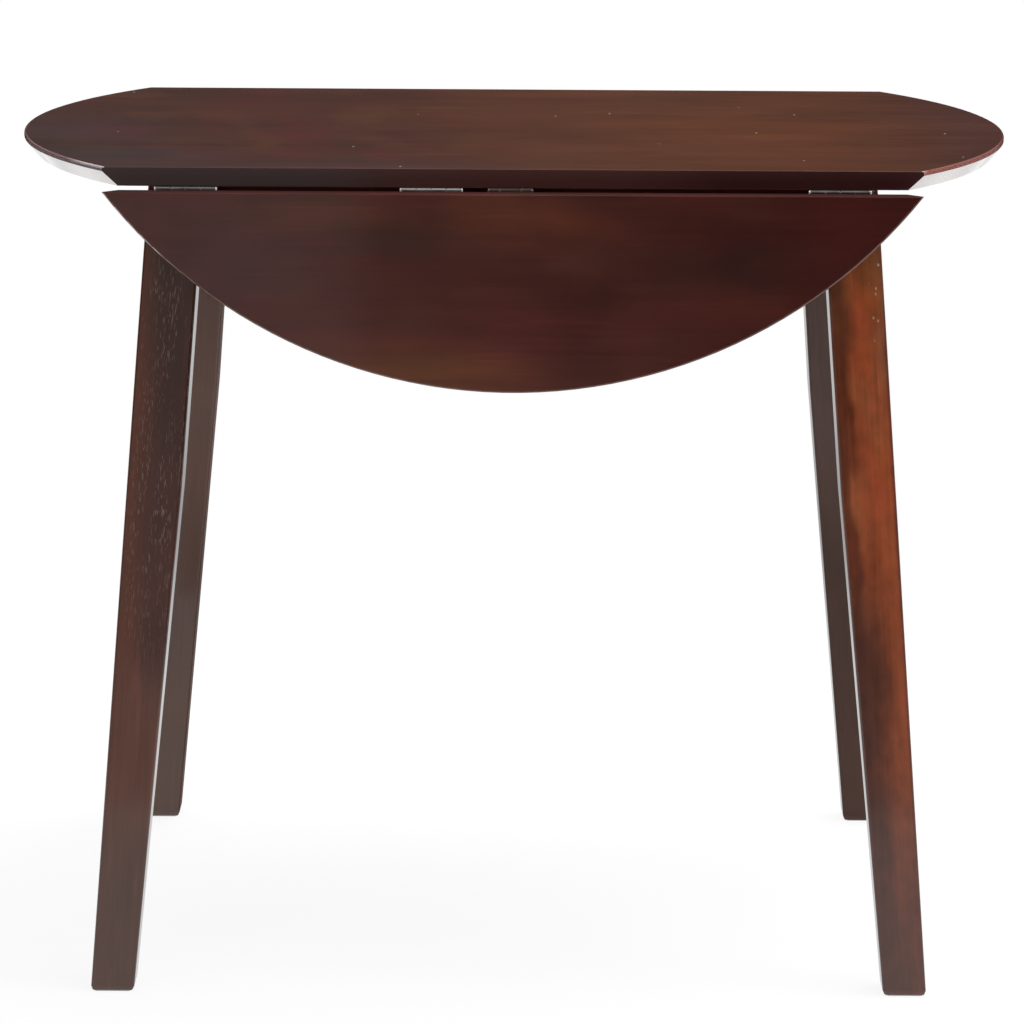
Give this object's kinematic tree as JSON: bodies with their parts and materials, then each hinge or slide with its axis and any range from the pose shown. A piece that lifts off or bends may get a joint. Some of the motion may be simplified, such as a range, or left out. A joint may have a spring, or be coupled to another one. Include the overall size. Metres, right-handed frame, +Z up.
{
  "type": "round drop-leaf table",
  "caption": "Round dining table on splayed, tapered square legs, with a hinged leaf along each long side and folding steel leaf supports.",
  "frame": {"origin": "on the floor, under the middle of the table", "axes": "+Z up, X along the hinge lines, the pictured leaf on the -Y side"},
  "size_m": [0.9139, 0.6246, 0.75],
  "materials": {
    "walnut_top": "dark walnut stain under satin lacquer",
    "walnut_leg": "dark walnut stain under satin lacquer, open pores",
    "walnut_apron": "dark walnut stain under satin lacquer",
    "block_wood": "bare sawn hardwood",
    "hinge_steel": "bright plated",
    "support_bronze": "bronze-brown lacquered steel",
    "bolt_zinc": "zinc plated",
    "screw_steel": "yellow passivated"
  },
  "bodies": {
    "base": {"back_apron": "walnut_apron", "back_left_block": "block_wood", "back_left_hinge_pin": "hinge_steel", "back_left_hinge_plate": "hinge_steel", "back_left_leg": "walnut_leg", "back_middle_hinge_pin": "hinge_steel", "back_middle_hinge_plate": "hinge_steel", "back_right_block": "block_wood", "back_right_hinge_pin": "hinge_steel", "back_right_hinge_plate": "hinge_steel", "back_right_leg": "walnut_leg", "back_support_bracket": "support_bronze", "back_support_knuckle_pin": "hinge_steel", "back_support_pivot_pin": "hinge_steel", "block_screws": "screw_steel", "center_top": "walnut_top", "front_apron": "walnut_apron", "front_left_block": "block_wood", "front_left_hinge_pin": "hinge_steel", "front_left_hinge_plate": "hinge_steel", "front_left_leg": "walnut_leg", "front_middle_hinge_pin": "hinge_steel", "front_middle_hinge_plate": "hinge_steel", "front_right_block": "block_wood", "front_right_hinge_pin": "hinge_steel", "front_right_hinge_plate": "hinge_steel", "front_right_leg": "walnut_leg", "front_support_bracket": "support_bronze", "front_support_knuckle_pin": "hinge_steel", "front_support_pivot_pin": "hinge_steel", "hinge_screws_top": "hinge_steel", "left_apron": "walnut_apron", "leg_bolts": "bolt_zinc", "leg_nuts": "bolt_zinc", "leg_washers": "bolt_zinc", "right_apron": "walnut_apron", "support_screws_frame": "hinge_steel", "top_screws": "screw_steel"},
    "front_leaf": {"front_leaf": "walnut_top", "front_left_hinge_flap": "hinge_steel", "front_middle_hinge_flap": "hinge_steel", "front_right_hinge_flap": "hinge_steel", "front_support_arm": "support_bronze", "hinge_screws_front_leaf": "hinge_steel", "support_screws_front_leaf": "hinge_steel"},
    "front_brace": {"front_support_brace": "support_bronze", "front_support_slide_pin": "hinge_steel"},
    "back_leaf": {"back_leaf": "walnut_top", "back_left_hinge_flap": "hinge_steel", "back_middle_hinge_flap": "hinge_steel", "back_right_hinge_flap": "hinge_steel", "back_support_arm": "support_bronze", "hinge_screws_back_leaf": "hinge_steel", "support_screws_back_leaf": "hinge_steel"},
    "back_brace": {"back_support_brace": "support_bronze", "back_support_slide_pin": "hinge_steel"}
  },
  "joints": [
    {"name": "front_leaf_hinge", "type": "hinge", "parent": "base", "child": "front_leaf", "pos_m": [0, -0.27875, 0.7307], "axis": [-1, 0, 0], "range_deg": [0, 90]},
    {"name": "front_brace_pivot", "type": "hinge", "parent": "base", "child": "front_brace", "pos_m": [-0.002, -0.26575, 0.6927], "axis": [-1, 0, 0], "range_deg": [0, 104.75]},
    {"name": "back_leaf_hinge", "type": "hinge", "parent": "base", "child": "back_leaf", "pos_m": [0, 0.27875, 0.7307], "axis": [1, 0, 0], "range_deg": [0, 90]},
    {"name": "back_brace_pivot", "type": "hinge", "parent": "base", "child": "back_brace", "pos_m": [0.002, 0.26575, 0.6927], "axis": [1, 0, 0], "range_deg": [0, 104.75]}
  ],
  "couplings": [
    {"joint": "front_brace_pivot", "follows": "front_leaf_hinge", "ratio": 1.1637},
    {"joint": "back_brace_pivot", "follows": "back_leaf_hinge", "ratio": 1.1637}
  ]
}
